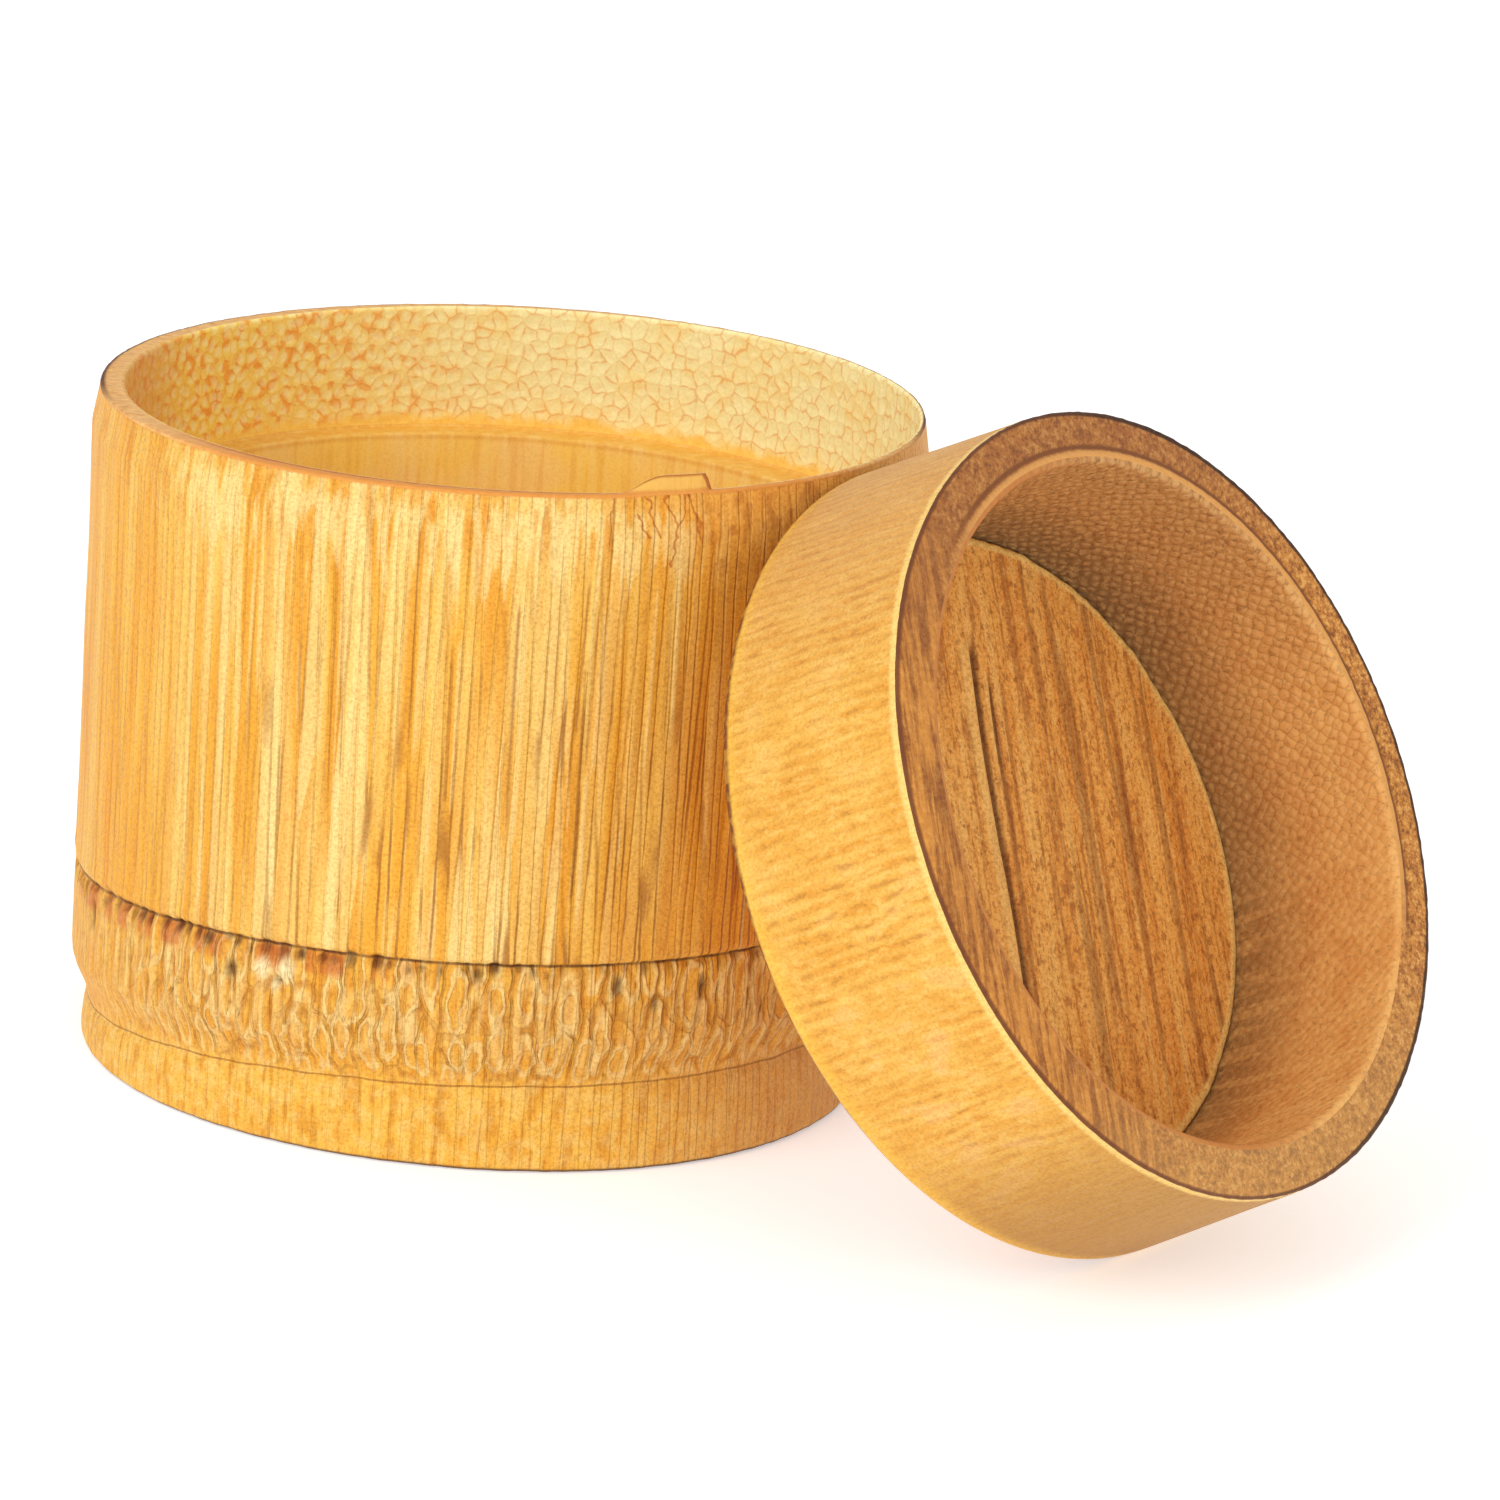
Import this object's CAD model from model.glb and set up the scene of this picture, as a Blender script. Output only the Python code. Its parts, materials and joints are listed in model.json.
"""Bamboo steaming cup with its lid leaning on it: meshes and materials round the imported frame."""
import json
import math

import bpy
import numpy as np
from mathutils import Matrix, Vector


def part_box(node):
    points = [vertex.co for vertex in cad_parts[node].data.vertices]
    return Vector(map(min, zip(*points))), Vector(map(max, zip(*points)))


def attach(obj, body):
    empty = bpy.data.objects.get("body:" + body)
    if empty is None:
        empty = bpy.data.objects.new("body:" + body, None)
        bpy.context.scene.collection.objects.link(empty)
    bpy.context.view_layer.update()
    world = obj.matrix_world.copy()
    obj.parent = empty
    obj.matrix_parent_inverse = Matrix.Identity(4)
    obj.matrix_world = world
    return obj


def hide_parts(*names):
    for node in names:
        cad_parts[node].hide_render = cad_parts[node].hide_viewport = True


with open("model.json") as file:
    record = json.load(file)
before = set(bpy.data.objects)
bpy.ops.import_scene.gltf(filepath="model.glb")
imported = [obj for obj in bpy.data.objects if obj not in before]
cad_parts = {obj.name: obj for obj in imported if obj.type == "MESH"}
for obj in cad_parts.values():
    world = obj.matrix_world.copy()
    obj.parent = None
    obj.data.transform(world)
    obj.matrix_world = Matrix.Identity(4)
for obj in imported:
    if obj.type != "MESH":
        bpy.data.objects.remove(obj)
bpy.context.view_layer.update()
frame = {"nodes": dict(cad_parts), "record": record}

MM = 0.001


# ---------------- sizes from the frame

def corners_of(node):
    """A CAD node's corners, one row each."""
    return np.array([v.co for v in frame["nodes"][node].data.vertices], float)


def on_axis(points, base, axis):
    """Height along an axis, and distance from it, of each point."""
    off = points - base
    height = off @ axis
    return height, np.linalg.norm(off - np.outer(height, axis), axis=1)


def reach(node, base, axis, low, high):
    """The smallest and the largest radius that a node has between two heights."""
    height, radius = on_axis(corners_of(node), base, axis)
    there = radius[(height > low) & (height < high)]
    return there.min(), there.max()


def mount(name):
    """The record's mount of that name."""
    return next(m for m in frame["record"]["mounts"] if m["name"] == name)


UP = np.array([0.0, 0.0, 1.0])
TABLE = np.zeros(3)
NEAR = 0.1 * MM

# The cup, which stands on the table round +Z
RIM_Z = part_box("cup_tube")[1].z
BORE_R, CULM_R = reach("cup_tube", TABLE, UP, -NEAR, RIM_Z + NEAR)
FOOT_R = reach("cup_tube", TABLE, UP, -NEAR, NEAR)[1]
RIM_R = reach("cup_tube", TABLE, UP, RIM_Z - NEAR, RIM_Z + NEAR)[1]
FOOT_H = mount("foot")["dims"]["length_mm"] * MM
LEDGE_Z = RIM_Z - mount("mouth")["dims"]["length_mm"] * MM
FLOOR_LOW, FLOOR_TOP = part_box("cup_floor")[0].z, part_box("cup_floor")[1].z

# The lid, round the axis of its disc: the direction that the disc is thinnest in
disc_corners = corners_of("lid_disc")
disc_middle = (disc_corners.min(0) + disc_corners.max(0)) / 2
LID_AXIS = np.linalg.svd(disc_corners - disc_middle, full_matrices=False)[2][2]
LID_AXIS = LID_AXIS * np.sign(LID_AXIS[2])
disc_height, disc_radius = on_axis(disc_corners, disc_middle, LID_AXIS)
DISC_T = disc_height.max() - disc_height.min()
DISC_R = disc_radius.max()
LID_BASE = disc_middle - LID_AXIS * DISC_T / 2
LID_H = on_axis(corners_of("lid_ring"), LID_BASE, LID_AXIS)[0].max()
LID_R = reach("lid_ring", LID_BASE, LID_AXIS, -NEAR, LID_H)[1]
LID_FACE_R = reach("lid_ring", LID_BASE, LID_AXIS, -NEAR, NEAR)[1]
LID_OPEN_BORE_R = reach("lid_ring", LID_BASE, LID_AXIS, LID_H - NEAR, LID_H + NEAR)[0]
LID_OPEN_R = reach("lid_ring", LID_BASE, LID_AXIS, LID_H - MM, LID_H + NEAR)[1]
LID_BEVEL = LID_R - LID_FACE_R

# The lid's own frame: x level across its face, y up its face, z out of its open end
LID_X = np.cross(UP, LID_AXIS) / np.linalg.norm(np.cross(UP, LID_AXIS))
LID_Y = np.cross(LID_AXIS, LID_X)
LID_FRAME = np.stack([LID_X, LID_Y, LID_AXIS])


# ---------------- noise for the relief

def ease(t):
    """0 to 1 with no sudden start or stop."""
    t = np.clip(t, 0, 1)
    return t * t * (3 - 2 * t)


def hill(x, centre, width):
    """1 at centre, falling away on both sides."""
    return np.exp(-(((x - centre) / width) ** 2))


def swell(seed, turn, height, count, cell_height):
    """Smooth noise of about -1 to 1, closed all the way round: turn is 0 to 1."""
    u, v = turn * count, height / cell_height
    column, row = np.floor(u).astype(int), np.floor(v).astype(int)
    row0 = row.min()
    table = np.random.default_rng(seed).uniform(-1, 1, (row.max() - row0 + 2, count))
    across, up = ease(u - column), ease(v - row)
    left, right = column % count, (column + 1) % count
    low = table[row - row0, left] * (1 - across) + table[row - row0, right] * across
    high = table[row - row0 + 1, left] * (1 - across) + table[row - row0 + 1, right] * across
    return low * (1 - up) + high * up


def cells(seed, turn, height, count, cell_height, jitter=0.35):
    """Rounded cells in rows: 0 on their outlines, 1 in their middles."""
    u, v = turn * count, height / cell_height
    column, row = np.floor(u).astype(int), np.floor(v).astype(int)
    row0 = row.min() - 1
    shape = (row.max() - row0 + 2, count, 2)
    seeds = np.random.default_rng(seed).uniform(0.5 - jitter, 0.5 + jitter, shape)
    first = np.full(u.shape, 9.0)
    second = np.full(u.shape, 9.0)
    for side in (-1, 0, 1):
        for level in (-1, 0, 1):
            seat = seeds[row + level - row0, (column + side) % count]
            shift = 0.5 * ((row + level) % 2)
            gap = np.hypot(column + side + seat[..., 0] + shift - 0.25 - u,
                           row + level + seat[..., 1] - v)
            second = np.minimum(second, np.maximum(first, gap))
            first = np.minimum(first, gap)
    return np.clip((second - first) * 1.6, 0, 1)


# ---------------- meshes

def section(corners, closed=True):
    """A rounded outline as points (radius, height) and the zone that starts at each.
    A corner is (radius, height, rounding, zone, step)."""
    points, zones = [], []
    count = len(corners)
    for i, (r, z, rounding, zone, step) in enumerate(corners):
        here = np.array([r, z])
        before = np.array(corners[i - 1][:2])
        after = np.array(corners[(i + 1) % count][:2])
        start = here
        if rounding:
            back = here + (before - here) / np.linalg.norm(before - here) * rounding
            start = here + (after - here) / np.linalg.norm(after - here) * rounding
            for t in (0.0, 0.25, 0.5, 0.75):
                points.append((1 - t) ** 2 * back + 2 * t * (1 - t) * here + t * t * start)
                zones.append(zone)
        cut = corners[(i + 1) % count][2]
        end = after - (after - start) / np.linalg.norm(after - start) * cut
        pieces = max(1, round(np.linalg.norm(end - start) / step))
        points += [start + (end - start) * k / pieces for k in range(pieces)]
        zones += [zone] * pieces
    return np.array(points), np.array(zones)


def outward(points):
    """The direction out of the solid at each point of a section drawn anticlockwise."""
    along = np.roll(points, -1, 0) - np.roll(points, 1, 0)
    along /= np.linalg.norm(along, axis=1)[:, None]
    return np.stack([along[:, 1], -along[:, 0]], 1)


def add(name, data):
    """A new object in the scene."""
    made = bpy.data.objects.new(name, data)
    bpy.context.scene.collection.objects.link(made)
    return made


def points_at(x, y, z):
    """Grids of coordinates as one grid of points."""
    return np.stack(np.broadcast_arrays(x, y, z), -1)


def grid_piece(name, places, grown, material_rows, materials, masks=None, loop=True):
    """A mesh from a grid of points (rows, columns, 3) whose columns always close. grown is where
    each point was before any relief or bending, for the materials, which also read the masks.
    With loop the rows close too; otherwise the first and last rows are capped."""
    rows, columns = places.shape[:2]
    row = np.arange(rows if loop else rows - 1)[:, None]
    column = np.arange(columns)[None]
    next_row, next_column = (row + 1) % rows, (column + 1) % columns
    quads = np.stack([row * columns + column, row * columns + next_column,
                      next_row * columns + next_column, next_row * columns + column], -1)
    faces = [tuple(q) for q in quads.reshape(-1, 4).tolist()]
    slots = np.repeat(material_rows[:len(row)], columns).tolist()
    if not loop:
        faces += [tuple(range(columns))[::-1], tuple(range((rows - 1) * columns, rows * columns))]
        slots += [material_rows[0], material_rows[-1]]
    mesh = bpy.data.meshes.new(name)
    mesh.from_pydata(places.reshape(-1, 3).tolist(), [], faces)
    mesh.polygons.foreach_set("material_index", slots)
    mesh.polygons.foreach_set("use_smooth", [True] * len(faces))
    mesh.attributes.new("grown", "FLOAT_VECTOR", "POINT")
    mesh.attributes["grown"].data.foreach_set("vector", grown.astype(np.float32).ravel())
    for label, values in (masks or {}).items():
        values = np.broadcast_to(values, (rows, columns)).astype(np.float32)
        mesh.attributes.new(label, "FLOAT", "POINT").data.foreach_set("value", values.ravel())
    for material in materials:
        mesh.materials.append(material)
    mesh.update()
    return add(name, mesh)


# ---------------- materials

def srgb(red, green, blue):
    """A colour given as a screen shows it, 0 to 255, as Blender's linear values."""
    def linear(c):
        c /= 255
        return c / 12.92 if c <= 0.04045 else ((c + 0.055) / 1.055) ** 2.4
    return (linear(red), linear(green), linear(blue), 1.0)


class Paint:
    """One material's node tree. Lengths are metres in the piece's own frame."""

    def __init__(self, name, roughness=0.5):
        self.material = bpy.data.materials.new(name)
        self.material.use_nodes = True
        self.tree = self.material.node_tree
        self.shader = self.tree.nodes["Principled BSDF"]
        self.shader.inputs["Roughness"].default_value = roughness
        self.shader.inputs["Specular IOR Level"].default_value = 0.22
        self.place = self.read("grown", "Vector")
        self.x, self.y, self.z = self.split(self.place)
        self.colour = None

    def node(self, kind, *links, **settings):
        """A node with its settings made and its first inputs filled."""
        made = self.tree.nodes.new(kind)
        for key, value in settings.items():
            setattr(made, key, value)
        for socket, value in zip(made.inputs, links):
            self.fill(socket, value)
        return made

    def fill(self, socket, value):
        """Links a socket, or sets its value; None leaves it as it is."""
        if isinstance(value, bpy.types.NodeSocket):
            self.tree.links.new(value, socket)
        elif value is not None:
            socket.default_value = value

    def read(self, name, output="Fac"):
        """A value that the mesh holds at each of its points."""
        return self.node("ShaderNodeAttribute", attribute_name=name).outputs[output]

    def split(self, vector):
        return self.node("ShaderNodeSeparateXYZ", vector).outputs

    def math(self, operation, first, second=None, clamp=False):
        return self.node("ShaderNodeMath", first, second, operation=operation,
                         use_clamp=clamp).outputs[0]

    def times(self, product, *others):
        for factor in others:
            product = self.math("MULTIPLY", product, factor)
        return product

    def plus(self, total, *others):
        for term in others:
            total = self.math("ADD", total, term)
        return total

    def less(self, first, second):
        return self.math("SUBTRACT", first, second)

    def vector(self, operation, *links, output=0):
        return self.node("ShaderNodeVectorMath", *links, operation=operation).outputs[output]

    def flat(self, x, y):
        """A place on a plane, from its two coordinates."""
        return self.node("ShaderNodeCombineXYZ", x, y).outputs[0]

    def bearing(self):
        """How far round from the viewer's side, in radians, positive towards the lid."""
        return self.math("ARCTAN2", self.x, self.times(self.y, -1.0))

    def from_axis(self):
        return self.math("SQRT", self.plus(self.times(self.x, self.x), self.times(self.y, self.y)))

    def stretched(self, x=1.0, y=1.0, z=1.0):
        """The piece's own coordinates, stretched: a small factor makes a long pattern."""
        return self.vector("MULTIPLY", self.place, (x, y, z))

    def noise(self, size, vector=None, detail=2.0, rough=0.5):
        """Noise of 0 to 1 whose features are about size across."""
        made = self.node("ShaderNodeTexNoise")
        self.fill(made.inputs["Vector"], self.place if vector is None else vector)
        made.inputs["Scale"].default_value = 1 / size
        made.inputs["Detail"].default_value = detail
        made.inputs["Roughness"].default_value = rough
        return made.outputs["Fac"]

    def streaky(self, size, factor, detail=2.0):
        """Noise drawn out along z: the smaller the factor, the longer its streaks."""
        return self.noise(size, self.stretched(z=factor), detail)

    def cells(self, feature, size, flat, randomness=1.0):
        """Cells about size across on a wall laid flat. Feature F1 is 0 in their middles, and
        DISTANCE_TO_EDGE is 0 on their outlines; 1 is a cell's width away."""
        made = self.node("ShaderNodeTexVoronoi", feature=feature, voronoi_dimensions="2D")
        self.fill(made.inputs["Vector"], flat)
        made.inputs["Scale"].default_value = 1 / size
        made.inputs["Randomness"].default_value = randomness
        return made.outputs["Distance"]

    def net(self, size, flat, randomness):
        """How far from the middles of such cells each place is, and how far from their outlines."""
        return (self.cells("F1", size, flat, randomness),
                self.cells("DISTANCE_TO_EDGE", size, flat, randomness))

    def turned(self, count):
        """How far round the z axis, from 0 to count, with no jump between whole numbers."""
        return self.times(self.math("ARCTAN2", self.x, self.y), count / (2 * math.pi))

    def unrolled(self, radius):
        """The wall round the z axis laid flat: x the distance round it and y the height."""
        round_it = self.turned(2 * math.pi * radius)
        return self.flat(round_it, self.z)

    def shaken(self, vector, amount, size):
        """Coordinates pushed about by noise, so that a pattern on them isn't regular."""
        shake = self.node("ShaderNodeTexNoise")
        self.fill(shake.inputs["Vector"], self.place)
        shake.inputs["Scale"].default_value = 1 / size
        spread = self.vector("SCALE", shake.outputs["Color"], None, None, amount)
        return self.vector("ADD", vector, spread)

    def strokes(self, across, up, lines):
        """The distance to the nearest of some drawn lines, each a row of points."""
        here = self.flat(across, up)
        nearest = None
        for line in lines:
            for first, last in zip(line, line[1:]):
                run = Vector((last[0] - first[0], last[1] - first[1], 0)) * MM
                off = self.vector("SUBTRACT", here, (first[0] * MM, first[1] * MM, 0))
                along = self.vector("DOT_PRODUCT", off, tuple(run / run.length_squared), output="Value")
                along = self.math("MULTIPLY", along, 1.0, clamp=True)
                back = self.vector("SCALE", tuple(run), None, None, along)
                gap = self.vector("LENGTH", self.vector("SUBTRACT", off, back), output="Value")
                nearest = gap if nearest is None else self.math("MINIMUM", nearest, gap)
        return nearest

    def ramp(self, value, low, high, to_low, to_high):
        """A smooth step from to_low, at low and below, to to_high, at high and above."""
        made = self.node("ShaderNodeMapRange", value, low, high, to_low, to_high,
                         interpolation_type="SMOOTHSTEP")
        return made.outputs["Result"]

    def step(self, value, low, high, top=1.0):
        """0 at low and below, top at high and above."""
        return self.ramp(value, low, high, 0.0, top)

    def fall(self, value, low, high, top=1.0):
        """top at low and below, 0 at high and above."""
        return self.ramp(value, low, high, top, 0.0)

    def share(self, amount, at_none, at_full):
        """Goes from at_none to at_full as amount goes from 0 to 1."""
        return self.ramp(amount, 0.0, 1.0, at_none, at_full)

    def band(self, value, centre, half, soft):
        """1 where value is within half of centre, falling to 0 over soft."""
        off = self.math("ABSOLUTE", self.less(value, centre))
        return self.fall(off, half, half + soft)

    def mix(self, amount, first, second, kind="MIX"):
        """first where amount is 0, second where it is 1. The node has sockets for each type of
        value; the ones for colours are 6, 7 and, for its output, 2."""
        made = self.node("ShaderNodeMix", data_type="RGBA", blend_type=kind)
        self.fill(made.inputs[0], amount)
        self.fill(made.inputs[6], first)
        self.fill(made.inputs[7], second)
        return made.outputs[2]

    def ground(self, clouds, first, second):
        """Starts the painting with two colours that go over into each other in clouds."""
        self.colour = self.mix(self.step(clouds, 0.35, 0.65), first, second)

    def lay(self, colour, *shares, kind="MIX"):
        """Lays a colour over what is painted so far, as much as the product of its shares."""
        self.colour = self.mix(self.times(*shares), self.colour, colour, kind)

    def keep(self, share, under):
        """Keeps what is painted so far where share is 1, and what was under it where it is 0."""
        self.colour = self.mix(share, under, self.colour)

    def paper(self, share, size=0.4 * MM):
        """A fine mottle over all that is painted so far."""
        mottle = self.noise(size, detail=3, rough=0.8)
        dim = self.mix(self.step(mottle, 0.32, 0.6), srgb(214, 192, 164), srgb(255, 255, 255))
        self.lay(dim, share, kind="MULTIPLY")
        return mottle

    def finish(self, height, depth, rough=None):
        """The material, with what is painted on it and height as a relief of that depth."""
        self.fill(self.shader.inputs["Base Color"], self.colour)
        bump = self.node("ShaderNodeBump")
        bump.inputs["Strength"].default_value = 1.0
        bump.inputs["Distance"].default_value = depth
        self.fill(bump.inputs["Height"], height)
        self.fill(self.shader.inputs["Normal"], bump.outputs[0])
        self.fill(self.shader.inputs["Roughness"], rough)
        return self.material


# Colours of the bamboo
CREAM = srgb(252, 226, 152)
PALE = srgb(250, 212, 124)
STRAW = srgb(244, 190, 78)
HONEY = srgb(238, 170, 52)
AMBER = srgb(222, 140, 38)
ORANGE = srgb(236, 150, 46)
RUST = srgb(178, 88, 26)
BARK = srgb(166, 104, 36)
UMBER = srgb(84, 38, 18)
ROSE = srgb(216, 160, 98)
INNER = srgb(255, 212, 100)


# ---------------- the cup

FOOT, SHOULDER, BAND, WALL, BEVEL, RIM, MOUTH, LEDGE, BORE, BASE = range(10)
NODE_Z = FLOOR_TOP
SHOULDER_H = 7 * MM
BEVEL_H = 5 * MM
MOUTH_R = mount("mouth")["dims"]["r_mm"] * MM - 0.5 * MM
MOUTH_SHIFT = 1.2 * MM
RIM_TILT, TILT_FROM = 0.016, 60 * MM

# The foot and the node line dip at one bearing, in degrees; the dip ends at DIP_TOP
DIP_BEARING, DIP_WIDTH, DIP_TOP = -100, 60, 64 * MM
FOOT_DIP, NODE_DIP, NODE_RISE = 7.4 * MM, 5.4 * MM, 1.8 * MM

# The grid's columns round the cup, and how much closer they stand in front than behind
CUP_COLUMNS, CROWDING = 620, 0.35

# How many grooves, pits and loops of fibre there are round the cup
GROOVES, PITS, LOOPS = 130, 150, 112

# The chip in the rim, by its bearing from the viewer's side, in degrees towards the lid
CHIP_START, CHIP_PEAK, CHIP_END = 13.8, 20.0, 26.8
CHIP_LIFT, CHIP_BACK = 1.9 * MM, 0.5 * MM

# Its cracks, as points on the wall: millimetres round from the viewer's side, and up from the rim
CHIP_CRACKS = (
    ((12.5, 0.4), (12.5, -6)),
    ((16, 0.4), (17, -1), (17.5, -3), (18.5, -5)),
    ((19, -0.2), (20, -2.5), (21, -4)),
    ((22, 0), (21.5, -1.5), (21, -4), (20, -8.5)),
    ((22, 0), (23, -2), (24, -6)),
    ((15.5, -2.3), (17, -5)),
    ((16.5, 0), (18.5, -0.1), (22, -0.1), (24, -0.2)),
)


def cup_section():
    """The cup's outline, up the outside and down the inside."""
    steps = 9
    shoulder = []
    for i in range(steps):
        share = (1 - math.cos(math.pi * i / steps)) / 2
        shoulder.append((FOOT_R + (CULM_R - FOOT_R) * share, FOOT_H + SHOULDER_H * i / steps,
                         0, SHOULDER, MM))
    return section([
        (FOOT_R, 0, 1.2 * MM, FOOT, 0.8 * MM),
        *shoulder,
        (CULM_R, FOOT_H + SHOULDER_H, 0, BAND, 0.5 * MM),
        (CULM_R, NODE_Z - 1.5 * MM, 0, BAND, 0.3 * MM),
        (CULM_R, NODE_Z + 3 * MM, 0, WALL, 2.3 * MM),
        (CULM_R, RIM_Z - BEVEL_H, 0, BEVEL, 0.7 * MM),
        (RIM_R, RIM_Z, 0.35 * MM, RIM, 0.3 * MM),
        (MOUTH_R, RIM_Z, 0.5 * MM, MOUTH, 0.55 * MM),
        (MOUTH_R, LEDGE_Z, 0.3 * MM, LEDGE, 0.7 * MM),
        (BORE_R, LEDGE_Z, 0.5 * MM, BORE, 4 * MM),
        (BORE_R, 0, 0.4 * MM, BASE, 0.9 * MM),
    ])


def cup_splits(bearing, z):
    """Long narrow grooves between the fibres, closest together in front: how deep each place is
    in one, 0 to 1. Below 0 is the bright edge beside a groove."""
    rng = np.random.default_rng(21)
    deep = np.zeros(np.broadcast(bearing, z).shape)
    bright = np.zeros(deep.shape)
    narrow = math.degrees(0.26 * MM / CULM_R)
    for _ in range(GROOVES):
        centre = rng.normal(14, 22) if rng.random() < 0.35 else rng.uniform(-180, 180)
        low = NODE_Z + rng.uniform(-6, 30) * MM
        half = rng.uniform(5, 18) * MM
        depth = rng.uniform(0.3, 1.0) * (0.5 if -110 < centre < -28 else 1.0)
        lean, width = rng.normal(0, 0.3), narrow * rng.uniform(0.8, 1.3)
        away = bearing - centre - lean * (z - low - half) / half
        ends = ease((half - np.abs(z - low - half)) / (4 * MM) + 0.5)
        deep = np.maximum(deep, depth * ends * hill(away, 0, width))
        bright = np.maximum(bright, depth * ends * hill(away, 2.6 * width, 1.3 * width))
    # The crack that starts the chip in the rim
    crack = 0.8 * hill(bearing, CHIP_START, narrow) * ease((z - 58 * MM) / (24 * MM))
    deep = np.maximum(deep, crack * (z > NODE_Z))
    return deep - bright * (1 - np.minimum(1, 3 * deep))


def cup_pits(bearing, below):
    """Little holes along the node line, deepest in front on the left, and two pale knobs with a
    smaller one below them, 0 to 1."""
    rng = np.random.default_rng(5)
    holes = []
    for k in range(PITS):
        at = -180 + 360 * (k + rng.uniform(-0.35, 0.35)) / PITS
        strong = -88 < at < 2
        size = rng.uniform(0.5, 0.95) if strong else rng.uniform(0.35, 0.7)
        weight = rng.uniform(0.55, 1.0) if strong else rng.uniform(0.1, 0.75)
        holes.append((at, rng.uniform(0.2, 1.0), size, rng.uniform(0.8, 1.5), weight))
    # Single ones: bearing, millimetres below the line, width, height over width, and depth
    holes += [(-27.4, 3.5, 0.7, 1.0, 1.0), (-35.0, 3.2, 1.1, 1.0, 0.9), (-68.0, 2.6, 0.7, 2.4, 0.9),
              (18.5, 2.2, 0.8, 1.8, 0.9), (31.0, 3.0, 0.6, 2.6, 0.9), (24.0, 4.2, 0.7, 1.6, 0.7)]
    knobs = [(-29.8, 2.5, 1.5, 0.8, 1.0), (-26.2, 2.3, 1.4, 1.0, 1.0), (-27.8, 4.0, 0.8, 0.9, 0.7)]

    def spots(listed):
        total = np.zeros(np.broadcast(bearing, below).shape)
        for at, drop, size, tall, weight in listed:
            away = np.hypot(np.radians(bearing - at) * CULM_R / (size * MM),
                            (below - drop * MM) / (size * tall * MM))
            total = np.maximum(total, weight * ease(1.25 - away))
        return total

    return spots(holes), spots(knobs)


def cup_loops(bearing, z):
    """Hairpins of fibre side by side in the band: the strands, and the gaps beside them, 0 to 1."""
    rng = np.random.default_rng(15)
    strand = np.zeros(np.broadcast(bearing, z).shape)
    gap = np.zeros(strand.shape)
    power, room = 2.4, 13 * MM
    for k in range(LOOPS):
        at = -180 + 360 * (k + rng.uniform(-0.3, 0.3)) / LOOPS
        wide, tall = rng.uniform(0.8, 1.7) * MM, rng.uniform(2.6, 6.2) * MM
        middle = FOOT_H + 0.5 * MM + tall + rng.uniform(0.25, 1) * (room - 2 * tall)
        lean, open_side = rng.normal(0, 0.12), rng.choice([-1, 0, 1])
        weight = rng.uniform(0.45, 1.0)
        across = np.abs(np.radians(bearing - at) * CULM_R - lean * (z - middle)) / wide
        up = (z - middle) / tall
        out = (across ** power + np.abs(up) ** power) ** (1 / power) + 1e-6
        slope = out ** (1 - power) * np.hypot(across ** (power - 1) / wide,
                                              np.abs(up) ** (power - 1) / tall)
        away = (out - 1) / (slope + 1 / (4 * MM))
        keep = 1.0 if open_side == 0 else ease((open_side * up + 0.8) / 0.5)
        strand = np.maximum(strand, weight * keep * hill(away, 0, 0.32 * MM))
        gap = np.maximum(gap, weight * keep * hill(np.abs(away), 0.65 * MM, 0.22 * MM))
    return strand, gap * (1 - strand)


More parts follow.
